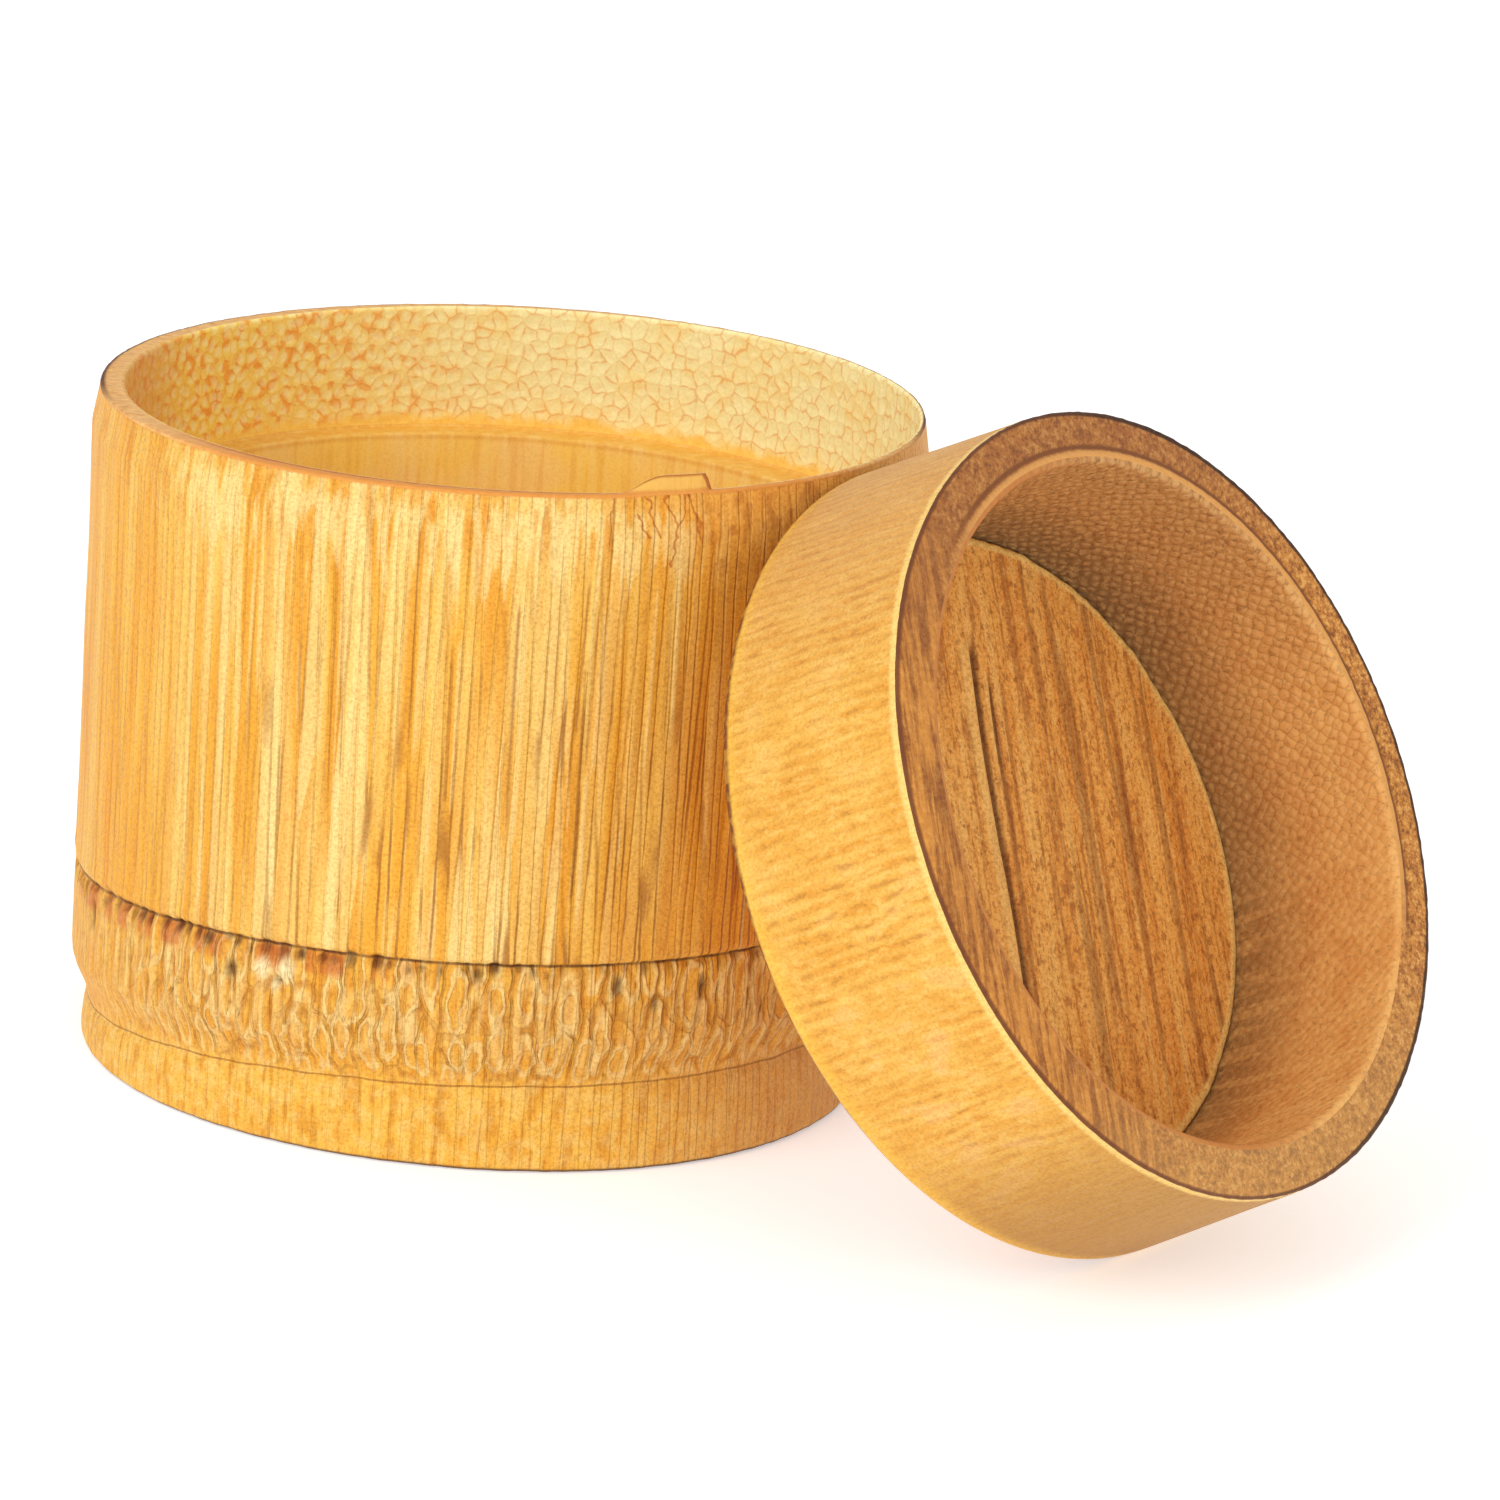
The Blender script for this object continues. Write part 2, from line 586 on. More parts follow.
def cup_tube(materials):
    """The culm: outer wall, node line, foot, rim, mouth, ledge and bore, in one closed mesh.
    relief is how far its surface stands out, in millimetres."""
    points, zone = cup_section()
    normals = outward(points)
    even = np.linspace(0, 1, CUP_COLUMNS, endpoint=False)[None]
    turn = even + CROWDING * np.sin(2 * math.pi * even) / (2 * math.pi)
    bearing = turn * 360 - 180
    angle = np.radians(bearing)
    r, z, zone = points[:, :1], points[:, 1:], zone[:, None]
    outside = zone <= BEVEL
    upper = outside * ease((z - NODE_Z + MM) / (2 * MM))
    lower = outside * (1 - ease((z - NODE_Z + 0.5 * MM) / MM)) * ease((z - FOOT_H) / (2 * MM))

    # Fibres and splits up the wall
    calm = 1 - 0.6 * (zone == BEVEL)
    fibres = (0.05 * swell(1, turn, z, 420, 26 * MM) + 0.08 * swell(2, turn, z, 170, 45 * MM)
              + 0.08 * swell(3, turn, z, 60, 60 * MM))
    splits = cup_splits(bearing, z) * upper
    relief = fibres * calm * upper - 0.2 * splits

    # The node line: a groove, a lip above it and pits in it
    above = z - NODE_Z
    pits, knobs = cup_pits(bearing, -above)
    beside = outside * (above > -9 * MM)
    relief = relief + outside * (
        -0.5 * hill(above, 0, 0.4 * MM)
        + 0.12 * hill(above, 1.5 * MM, 0.9 * MM) * (0.7 + 0.3 * swell(4, turn, z, 90, 9 * MM)))
    relief = relief - beside * (0.55 * pits - 0.4 * knobs)

    # The band under it: tangled loops of fibre, calmer on the left
    bent = turn + 0.003 * swell(5, turn, z, 60, 3 * MM)
    lumps = cells(7, bent, z, 210, 4.2 * MM, 0.48)
    calm_left = ease((bearing + 155) / 40) * ease((-35 - bearing) / 40)
    busy = (1 - 0.7 * calm_left) * np.ones(z.shape)
    strand, gap = cup_loops(bearing, z)
    relief = relief + lower * busy * (0.15 * np.sqrt(lumps) - 0.2 + 0.26 * strand - 0.2 * gap
                                      + 0.12 * swell(6, turn, z, 230, 6 * MM))

    # The foot, and the crease above it
    relief = relief + outside * (z < FOOT_H) * 0.04 * swell(8, turn, z, 260, 3 * MM)
    relief = relief - 0.25 * outside * hill(z, FOOT_H, 0.3 * MM)

    # Inside: cells in the mouth's wall and fibres in the bore; and grain on the rim's flat top
    pores = cells(11, turn, z, 236, 1.3 * MM)
    mouth = (zone == MOUTH) * ease((z - LEDGE_Z) / (1.5 * MM)) * ease((RIM_Z - z) / MM)
    relief = relief + 0.14 * mouth * (pores - 0.4)
    relief = relief + 0.05 * (zone == BORE) * swell(9, turn, z, 300, 20 * MM)
    relief = relief + 0.05 * (zone == RIM) * swell(10, turn, r, 330, 0.8 * MM)

    radius = r + normals[:, :1] * relief * MM
    height = z + normals[:, 1:] * relief * MM

    # The culm isn't quite round, and its foot less so
    lobes = 0.25 * np.cos(2 * (angle - 0.6)) + 0.12 * np.cos(3 * (angle + 1.1))
    foot_share = 1 - ease((z - 4 * MM) / (FOOT_H + SHOULDER_H - 4 * MM))
    lobes = lobes * ease((z - FOOT_H) / (20 * MM)) * (1 - ease((z - 66 * MM) / (12 * MM)))
    foot_lobes = 0.2 + 0.9 * np.cos(3 * (angle - math.radians(50)))
    radius = radius + outside * (lobes + foot_lobes * foot_share) * MM

    # The foot and the node line aren't cut square: both dip on the left
    dip = hill(bearing, DIP_BEARING, DIP_WIDTH)
    foot_hat = np.interp(z[:, 0], [0, FOOT_H, FOOT_H + SHOULDER_H, NODE_Z], [0, 1, 1, 0])[:, None]
    node_hat = np.interp(z[:, 0], [FOOT_H + SHOULDER_H, NODE_Z, DIP_TOP], [0, 1, 0])[:, None]
    height = height + outside * ((NODE_RISE - NODE_DIP * dip) * node_hat - FOOT_DIP * dip * foot_hat)

    # The rim's plane leans, and the mouth is off centre
    leaning = ease((z - TILT_FROM) / (RIM_Z - TILT_FROM))
    height = height + RIM_TILT * radius * np.sin(angle) * leaning
    across = ease((RIM_R - r) / (RIM_R - MOUTH_R))
    shift = np.where(zone == RIM, across, 0.0) + 1.0 * (zone == MOUTH)
    shift = shift + (zone == LEDGE) * ease((r - BORE_R) / (MOUTH_R - BORE_R))

    # The chip: a sliver of the rim stands up between two cracks
    raised = (ease((bearing - CHIP_START) / (CHIP_PEAK - CHIP_START))
              * ease((CHIP_END - bearing) / 0.8))
    on_rim = (zone == RIM) * (0.1 + 0.9 * ease((RIM_R - 0.3 * MM - r) / (0.7 * MM)))
    on_rim = on_rim + (zone == MOUTH) * ease(1 - (RIM_Z - z) / (2.2 * MM))
    height = height + CHIP_LIFT * raised * on_rim
    shift_back = CHIP_BACK * raised * on_rim

    x = (radius - shift_back) * np.sin(angle) + MOUTH_SHIFT * shift
    y = -(radius - shift_back) * np.cos(angle)
    grown = points_at(r * np.sin(angle), -r * np.cos(angle), z)
    masks = {"split": splits, "pit": pits * beside, "knob": knobs * beside, "lump": lumps,
             "strand": strand * lower * busy, "gap": gap * lower * busy, "chip": raised * on_rim}
    slot_of = {RIM: 1, MOUTH: 2, LEDGE: 3, BORE: 3, BASE: 3}
    material_rows = [slot_of.get(int(k), 0) for k in zone[:, 0]]
    return grid_piece("bamboo_cup", points_at(x, y, height), grown, material_rows, materials, masks)


def long_cells(p, arc, width, length):
    """Long upright cells on the wall: 0 on their outlines, and a shade of its own for each."""
    flat = p.shaken(p.flat(p.times(arc, 1 / width), p.times(p.z, 1 / length)), 0.2, 6 * MM)
    shade = p.node("ShaderNodeTexVoronoi", flat, voronoi_dimensions="2D")
    shade.inputs["Scale"].default_value = 1.0
    return p.cells("DISTANCE_TO_EDGE", 1.0, flat), p.split(shade.outputs["Color"])[0]


def wall_streaks(p, arc, lid_side):
    """Soft clouds and streaks up the culm, with thin dark lines between them in front."""
    left_edge = p.band(arc, -88 * MM, 25 * MM, 25 * MM)
    clouds = p.streaky(7 * MM, 0.3, detail=1)
    broad = p.streaky(3 * MM, 0.05, detail=1)
    narrow = p.streaky(1.1 * MM, 0.04)
    outline, shade = long_cells(p, arc, 1.4 * MM, 45 * MM)
    front = p.band(arc, -14 * MM, 12 * MM, 26 * MM)
    p.colour = p.mix(p.step(broad, 0.34, 0.62), HONEY, STRAW)
    p.lay(HONEY, left_edge, 0.4)
    p.lay(ORANGE, p.step(clouds, 0.5, 0.68), p.share(left_edge, 0.15, 0.35))
    p.lay(PALE, p.step(broad, 0.42, 0.62), p.share(front, 0.15, 0.65))
    p.lay(AMBER, p.fall(narrow, 0.36, 0.46), p.share(left_edge, 0.25, 0.2))
    p.lay(CREAM, p.step(narrow, 0.52, 0.66), p.share(front, 0.1, 0.5))
    p.lay(CREAM, p.step(shade, 0.6, 0.9), p.share(front, 0.1, 0.5))
    p.lay(AMBER, p.fall(shade, 0.1, 0.3), 0.18)
    p.lay(srgb(228, 142, 38), lid_side, 0.6)
    dark = p.mix(lid_side, BARK, RUST)
    shown = p.step(p.streaky(3 * MM, 0.2, detail=1), 0.42, 0.62)
    shown = p.times(shown, p.share(p.band(arc, -75 * MM, 25 * MM, 40 * MM), 0.75, 0.2))
    shown = p.times(shown, p.ramp(p.z, NODE_Z + 22 * MM, RIM_Z - 12 * MM, 1.0, 0.3))
    p.lay(dark, p.fall(outline, 0.03, 0.13), shown)
    groove = p.read("split")
    p.lay(dark, p.step(groove, 0.35, 0.95, 0.8))
    p.lay(CREAM, p.fall(groove, -0.7, -0.15, 0.4))
    lines = p.plus(p.times(narrow, 0.4), p.step(outline, 0.0, 0.16))
    return p.plus(p.times(broad, 0.4), lines)


def rim_streaks(p, arc, lid_side):
    """Cream streaks of uneven length that hang from near the rim, with amber ones between them."""
    fine = p.streaky(1.2 * MM, 0.1)
    hang = p.plus(fine, p.ramp(p.z, RIM_Z - 20 * MM, RIM_Z - 5 * MM, -0.3, 0.05))
    hang = p.times(p.step(hang, 0.46, 0.62), p.ramp(p.z, RIM_Z - 3 * MM, RIM_Z - 1.5 * MM, 1.0, 0.3))
    front = p.band(arc, -10 * MM, 24 * MM, 20 * MM)
    p.lay(CREAM, hang, p.share(front, 0.1, 0.6))
    between = p.times(p.fall(fine, 0.36, 0.46), p.step(p.z, RIM_Z - 14 * MM, RIM_Z - 3 * MM))
    p.lay(AMBER, between, 0.5)
    p.lay(srgb(255, 190, 92), lid_side, p.step(p.z, RIM_Z - 9 * MM, RIM_Z - 3 * MM, 0.85))
    p.lay(srgb(204, 116, 40), p.step(p.z, RIM_Z - 0.6 * MM, RIM_Z - 0.3 * MM, 0.35))


def looped_band(p, arc, above, lid_side):
    """The band under the node line: pale loops in amber gaps, and short rust dashes."""
    loop_width, loop_height = 2.7 * MM, 8.5 * MM
    flat = p.flat(p.times(arc, 1 / loop_width), p.times(p.z, 1 / loop_height))
    flat = p.shaken(flat, 0.9, 4 * MM)
    busy = p.share(p.band(arc, -85 * MM, 23 * MM, 26 * MM), 1.0, 0.25)
    middle, outline = p.net(1.0, flat, 0.8)
    loop = p.band(middle, 0.34, 0.04, 0.09)
    between = p.fall(outline, 0.02, 0.08)
    dashes = p.streaky(1.2 * MM, 0.25)
    under = p.colour
    p.colour = p.mix(p.step(dashes, 0.36, 0.56), HONEY, STRAW)
    p.lay(AMBER, p.fall(p.read("lump"), 0.05, 0.3), 0.35)
    p.lay(RUST, p.step(dashes, 0.58, 0.66), 0.3)
    p.lay(BARK, between, busy, 0.4)
    p.lay(CREAM, loop, busy, 0.65)
    p.lay(srgb(170, 94, 28), p.read("gap"), 0.55)
    p.lay(CREAM, p.read("strand"), 0.6)
    p.lay(AMBER, p.plus(p.times(lid_side, 0.15), 0.15))
    here = p.fall(above, -0.2 * MM, 0.4 * MM)
    p.keep(here, under)
    here = p.times(here, p.ramp(p.z, FOOT_H + 0.5 * MM, FOOT_H + 3 * MM, 0.2, 1.0))
    return p.times(p.less(loop, between), busy, here)


def plain_foot(p, lid_side):
    """The foot: faint upright marks, a thin crease above them and a dark edge on the table."""
    faint = p.streaky(1.1 * MM, 0.16)
    spots = p.noise(1.8 * MM, detail=3)
    under = p.colour
    p.colour = p.mix(p.step(faint, 0.35, 0.6), HONEY, STRAW)
    p.lay(PALE, p.step(spots, 0.42, 0.66), 0.5)
    p.lay(BARK, p.fall(faint, 0.36, 0.46, 0.2))
    p.lay(ROSE, lid_side, 0.5)
    p.keep(p.fall(p.z, FOOT_H - 0.2 * MM, FOOT_H + 1.4 * MM), under)
    wobble = p.times(p.streaky(6 * MM, 0.0), 0.7 * MM)
    crease = p.less(p.plus(p.z, wobble), FOOT_H + 0.35 * MM)
    p.lay(BARK, p.band(crease, 0.0, 0.05 * MM, 0.16 * MM), 0.75)
    p.lay(UMBER, p.fall(p.z, 0.3 * MM, 0.8 * MM, 0.9))


def node_line(p, bearing, above):
    """The dark line under which the band starts, with its pits, knobs and red-brown blotches."""
    patchy = p.streaky(3 * MM, 0.0)
    left = p.band(bearing, -0.75, 0.45, 0.2)
    left_patches = p.times(left, p.step(patchy, 0.42, 0.55))
    blotch = p.times(p.band(above, -1.2 * MM, 0.6 * MM, MM), left_patches)
    p.lay(srgb(206, 104, 36), blotch, 0.7)
    p.lay(UMBER, p.band(above, 0.0, 0.08 * MM, 0.2 * MM), p.ramp(patchy, 0.3, 0.6, 0.45, 0.85))
    p.lay(UMBER, p.read("pit"), 0.85)
    p.lay(srgb(255, 236, 180), p.read("knob"), 0.95)


def chip_marks(p, bearing):
    """The chip's cracks, and the stained patch beside it."""
    wobble = p.times(p.less(p.noise(1.5 * MM, detail=1), 0.5), 1.8 * MM)
    arc, up = p.plus(p.times(bearing, CULM_R), wobble), p.less(p.z, RIM_Z)
    stain = p.times(p.band(arc, 38 * MM, 10 * MM, 6 * MM), p.step(up, -18 * MM, -4 * MM))
    marks = p.step(p.streaky(1.6 * MM, 0.6), 0.5, 0.6)
    p.lay(srgb(236, 144, 44), stain, 0.2)
    p.lay(RUST, stain, marks, 0.4)
    cracks = p.strokes(arc, up, CHIP_CRACKS)
    p.lay(srgb(190, 100, 34), p.fall(cracks, 0.06 * MM, 0.22 * MM, 0.75))


def paint_cup_wall():
    """The scraped outer wall, its node line, the looped band and the foot."""
    p = Paint("bamboo_cup_wall", roughness=0.5)
    bearing = p.bearing()
    above = p.less(p.z, NODE_Z)
    arc = p.times(bearing, CULM_R)
    lid_side = p.band(bearing, 1.5, 0.65, 0.6)
    streaks = wall_streaks(p, arc, lid_side)
    rim_streaks(p, arc, lid_side)
    loops = looped_band(p, arc, above, lid_side)
    plain_foot(p, lid_side)
    node_line(p, bearing, above)
    chip_marks(p, bearing)
    mottle = p.paper(0.7)
    height = p.plus(streaks, p.times(mottle, 0.8), p.times(loops, 1.2))
    return p.finish(height, 0.14 * MM, p.ramp(mottle, 0.3, 0.7, 0.42, 0.6))


def end_grain(p, ground, cloud, dark, light):
    """Cut ends of the culm: clouded wood, grainy with dark and light specks. Gives the radius."""
    grain = p.noise(0.8 * MM, detail=3, rough=0.75)
    p.ground(p.noise(2.5 * MM), ground, cloud)
    p.lay(dark, p.fall(grain, 0.36, 0.5, 0.75))
    p.lay(light, p.step(grain, 0.52, 0.64, 0.65))
    return p.from_axis()


def paint_cup_rim():
    """The rim's flat top: pinkish at the left, orange-brown in front, a dark outer edge behind."""
    p = Paint("bamboo_cup_rim", roughness=0.6)
    radius = end_grain(p, srgb(228, 172, 106), srgb(234, 176, 102),
                       srgb(206, 144, 80), srgb(246, 202, 130))
    bearing = p.math("ABSOLUTE", p.bearing())
    front = p.fall(bearing, 0.6, 1.1)
    p.lay(srgb(244, 200, 124), p.fall(radius, MOUTH_R + 0.2 * MM, MOUTH_R + 0.9 * MM, 0.6))
    p.lay(srgb(222, 142, 56), front, 0.85)
    inner_edge = p.fall(radius, MOUTH_R + 0.6 * MM, MOUTH_R + MM, 0.85)
    p.lay(srgb(178, 90, 28), front, inner_edge)
    edge = p.step(radius, RIM_R - 0.55 * MM, RIM_R - 0.2 * MM)
    p.lay(UMBER, edge, p.step(bearing, 1.2, 1.5, 0.95))
    chip = p.read("chip")
    p.lay(srgb(236, 182, 88), p.step(chip, 0.05, 0.3))
    outline = p.fall(radius, MOUTH_R + 0.85 * MM, MOUTH_R + MM, 0.8)
    p.lay(RUST, p.step(chip, 0.05, 0.2), outline)
    return p.finish(p.noise(0.5 * MM), 0.1 * MM)


def paint_mouth():
    """The mouth's wall: cream cells in a thin net, orange mottling on the left, smooth below."""
    p = Paint("bamboo_cup_mouth", roughness=0.55)
    place = p.shaken(p.unrolled(MOUTH_R), 1.4 * MM, 2 * MM)
    middle, net = p.net(1.9 * MM, place, 0.85)
    left = p.fall(p.x, -46 * MM, 10 * MM)
    mottle = p.noise(1.6 * MM)
    p.colour = p.mix(left, srgb(255, 248, 184), srgb(255, 216, 96))
    p.lay(srgb(255, 222, 128), p.step(p.noise(6 * MM, detail=1), 0.45, 0.65), 0.4)
    p.lay(srgb(250, 160, 52), p.step(mottle, 0.5, 0.6), p.share(left, 0.1, 0.75))
    p.lay(srgb(255, 246, 184), p.fall(middle, 0.2, 0.45, 0.45))
    outline = p.fall(net, 0.02, 0.12)
    p.lay(srgb(232, 150, 58), outline, p.ramp(mottle, 0.4, 0.6, 0.15, 0.5))
    p.lay(srgb(218, 150, 84), p.fall(p.x, -49 * MM, -42 * MM, 0.6))
    lower = p.less(p.z, p.times(p.noise(2.5 * MM, detail=1), 3 * MM))
    p.lay(INNER, p.fall(lower, LEDGE_Z - MM, LEDGE_Z + 0.8 * MM, 0.95))
    p.paper(0.25)
    return p.finish(middle, 0.2 * MM)


def paint_bore():
    """The smooth turned wood below the mouth: faint upright grain."""
    p = Paint("bamboo_cup_bore", roughness=0.5)
    grain = p.streaky(1.2 * MM, 0.08)
    p.ground(p.noise(8 * MM), INNER, srgb(254, 212, 122))
    p.lay(srgb(238, 180, 78), p.step(p.z, LEDGE_Z - 1.2 * MM, LEDGE_Z - 0.5 * MM, 0.7))
    p.lay(AMBER, p.fall(grain, 0.35, 0.5, 0.2))
    p.lay(CREAM, p.step(grain, 0.52, 0.66, 0.25))
    p.paper(0.25)
    return p.finish(grain, 0.06 * MM)


# ---------------- round boards: floor and disc

def board(name, low, high, radius, lines, relief, place, material):
    """A round board as a grid whose lines run with its grain. relief gives the top's height.
    The lines stand closer together at the sides, and the outermost still have some length."""
    across = radius * np.sin(np.linspace(-1, 1, lines) * math.radians(89))[:, None]
    steps = 56
    along = np.sin(np.linspace(-1, 1, steps) * math.pi / 2)[None]
    half_length = np.sqrt(radius ** 2 - across ** 2)
    x = np.broadcast_to(across, (lines, steps))
    y = half_length * along
    top = high + relief(x, y)
    bottom = np.full_like(top, low)
    x2 = np.concatenate([x, x[:, ::-1]], 1)
    y2 = np.concatenate([y, y[:, ::-1]], 1)
    z2 = np.concatenate([top, bottom[:, ::-1]], 1)
    grown = points_at(x2, y2, z2)
    return grid_piece(name, place(grown), grown, [0] * lines, [material], loop=False)


def drill(piece, holes, radius, low, high):
    """Cuts upright holes through a piece."""
    sides = 40
    turn = 2 * math.pi * np.arange(sides) / sides
    ring = np.stack([radius * np.cos(turn), radius * np.sin(turn)], 1)
    vertices, faces = [], []
    for hx, hy in holes:
        first = len(vertices)
        for z in (low, high):
            vertices += [(hx + a, hy + b, z) for a, b in ring]
        faces.append(tuple(range(first, first + sides))[::-1])
        faces.append(tuple(range(first + sides, first + 2 * sides)))
        faces += [(first + i, first + (i + 1) % sides, first + sides + (i + 1) % sides,
                   first + sides + i) for i in range(sides)]
    mesh = bpy.data.meshes.new("drills")
    mesh.from_pydata(vertices, [], faces)
    mesh.materials.append(piece.data.materials[0])
    drills = add("drills", mesh)
    cut = piece.modifiers.new("holes", "BOOLEAN")
    cut.operation, cut.object, cut.solver = "DIFFERENCE", drills, "EXACT"
    bpy.context.view_layer.update()
    evaluated = piece.evaluated_get(bpy.context.evaluated_depsgraph_get())
    result = bpy.data.meshes.new_from_object(evaluated, preserve_all_data_layers=True,
                                             depsgraph=bpy.context.evaluated_depsgraph_get())
    piece.modifiers.clear()
    piece.data = result
    bpy.data.objects.remove(drills)


# The grid lines of each board
FLOOR_LINES, DISC_LINES = 170, 240

# The steam holes: their radius, and the radius and the count of each ring of them
HOLE_R = 2.5 * MM
HOLE_RINGS = ((0, 1), (15 * MM, 6), (29 * MM, 12))


def steam_holes():
    """The middles of the holes, ring by ring."""
    return [(ring * math.cos(2 * math.pi * i / count), ring * math.sin(2 * math.pi * i / count))
            for ring, count in HOLE_RINGS for i in range(count)]


def cup_floor(material):
    """The culm's own node wall: slightly dished, with tangled fibre, drilled for steam."""
    radius = BORE_R - 0.02 * MM

    def relief(x, y):
        turn = (np.arctan2(y, x) / (2 * math.pi)) % 1
        away = np.hypot(x, y)
        rough = swell(31, turn, away, 60, 2 * MM) + swell(32, turn, away, 24, 5 * MM)
        return (0.14 * rough * ease(away / (6 * MM)) - 0.35 * (1 - (away / radius) ** 2)) * MM

    piece = board("steam_floor", FLOOR_LOW, FLOOR_TOP, radius, FLOOR_LINES, relief,
                  lambda local: local, material)
    drill(piece, steam_holes(), HOLE_R, FLOOR_LOW - 2 * MM, FLOOR_TOP + 2 * MM)
    return piece


def paint_floor():
    """Tangled fibre in honey and brown, in soft clouds."""
    p = Paint("bamboo_steam_floor", roughness=0.6)
    tangle = p.noise(2.4 * MM, detail=5, rough=0.65)
    clouds = p.noise(9 * MM)
    p.ground(clouds, srgb(214, 156, 72), srgb(232, 184, 104))
    p.lay(srgb(156, 92, 36), p.fall(tangle, 0.36, 0.5), 0.75)
    p.lay(PALE, p.step(tangle, 0.52, 0.64), 0.6)
    return p.finish(tangle, 0.3 * MM)


# The disc's grain leans from the lid's upright, and its cracks follow it: place across the
# grain, upper end, lower end, and width
GRAIN_LEAN = math.radians(16.6)
CRACKS = ((-3.2 * MM, 28 * MM, -34 * MM, 0.7 * MM), (-0.8 * MM, 24 * MM, 0, 0.3 * MM))
CRACK_BEND, CRACK_SWAY, CRACK_FADE = 8 * MM, 0.4 * MM, 20 * MM

# How far in from the lid's closed face the disc sits
DISC_INSET = 0.25 * MM


def lid_place(local):
    """Points of the lid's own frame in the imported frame."""
    return local @ LID_FRAME + LID_BASE


def disc_place(local):
    """As lid_place, for the disc, whose grain is turned in its plane."""
    x, y, z = local[..., 0], local[..., 1], local[..., 2]
    c, s = math.cos(GRAIN_LEAN), math.sin(GRAIN_LEAN)
    return lid_place(points_at(c * x + s * y, -s * x + c * y, z))


def lid_disc(material):
    """The straight-grained board in the lid's closed end, with its ridges and its cracks."""
    radius = DISC_R - 0.03 * MM
    rng = np.random.default_rng(17)
    ridges = [(rng.uniform(-39, 39), rng.uniform(0.4, 0.9), rng.uniform(-0.18, 0.22)) for _ in range(56)]
    ridges += [(-9.5, 0.8, 0.2), (6.5, 0.7, -0.2), (10.0, 0.9, 0.2), (18.0, 0.8, 0.16)]

    def relief(x, y):
        bend = x / MM + 0.5 * np.sin(y / (22 * MM) + 0.4) + 0.18 * np.sin(y / (7 * MM))
        total = np.zeros_like(x)
        for at, wide, tall in ridges:
            total += tall * hill(bend, at, wide)
        for at, top, end, wide in CRACKS:
            length = ease((top - y) / (4 * MM)) * ease((y - end) / CRACK_FADE)
            crack = (x - at + CRACK_SWAY * np.sin(y / CRACK_BEND)) / wide
            total += length * wide / MM * (-1.6 * hill(crack, 0, 0.8) + 0.7 * hill(crack, -2.4, 1.4))
        edge = radius - np.hypot(x, y)
        total += 0.22 * hill(edge, 1.1 * MM, 0.6 * MM) - 0.5 * ease(1 - edge / (0.5 * MM))
        return total * MM

    return board("lid_board", DISC_INSET, DISC_T, radius, DISC_LINES, relief, disc_place, material)


def paint_disc():
    """Straight upright grain in brown and honey, dark cracks, a light line round the edge."""
    p = Paint("bamboo_lid_board", roughness=0.6)
    broad = p.noise(3 * MM, p.stretched(y=0.06, z=0.2), detail=1)
    grain = p.noise(1.1 * MM, p.stretched(y=0.05, z=0.2), rough=0.6)
    short = p.noise(0.7 * MM, p.stretched(y=0.45, z=0.3), rough=0.7)
    light, dark = srgb(255, 204, 118), srgb(170, 98, 44)
    p.colour = p.mix(p.step(broad, 0.38, 0.62), srgb(240, 162, 72), srgb(248, 178, 86))
    p.lay(dark, p.fall(grain, 0.36, 0.46, 0.55))
    p.lay(light, p.step(grain, 0.53, 0.63, 0.5))
    p.lay(dark, p.fall(short, 0.36, 0.46, 0.6))
    p.lay(light, p.step(short, 0.55, 0.65, 0.4))
    lines = p.noise(2 * MM, p.stretched(y=0.03, z=0.2), detail=1)
    p.lay(srgb(128, 68, 34), p.fall(lines, 0.35, 0.42, 0.45))
    sway = p.times(p.math("SINE", p.times(p.y, 1 / CRACK_BEND)), CRACK_SWAY)
    for at, top, end, wide in CRACKS:
        crack = p.plus(p.less(p.x, at), sway)
        length = p.times(p.fall(p.y, top - 4 * MM, top), p.step(p.y, end, end + CRACK_FADE))
        p.lay(light, p.band(crack, -2.5 * wide, wide, wide), p.times(length, 0.7))
        p.lay(UMBER, p.band(crack, 0.2 * wide, 0.5 * wide, 0.7 * wide), p.times(length, 0.8))
    radius = p.from_axis()
    p.lay(srgb(255, 208, 120), p.band(radius, DISC_R - MM, 0.3 * MM, 0.4 * MM), 0.9)
    p.lay(UMBER, p.step(radius, DISC_R - 0.5 * MM, DISC_R - 0.2 * MM, 0.7))
    mottle = p.paper(0.9, 0.5 * MM)
    return p.finish(p.plus(grain, mottle), 0.25 * MM)


# ---------------- the lid's ring

FACE, ROUND, SIDE, LID_RIM, INSIDE, SEAT = range(6)
LID_COLUMNS = 720

# How many rows of fibre run along the lid's outside
LID_ROWS = 180


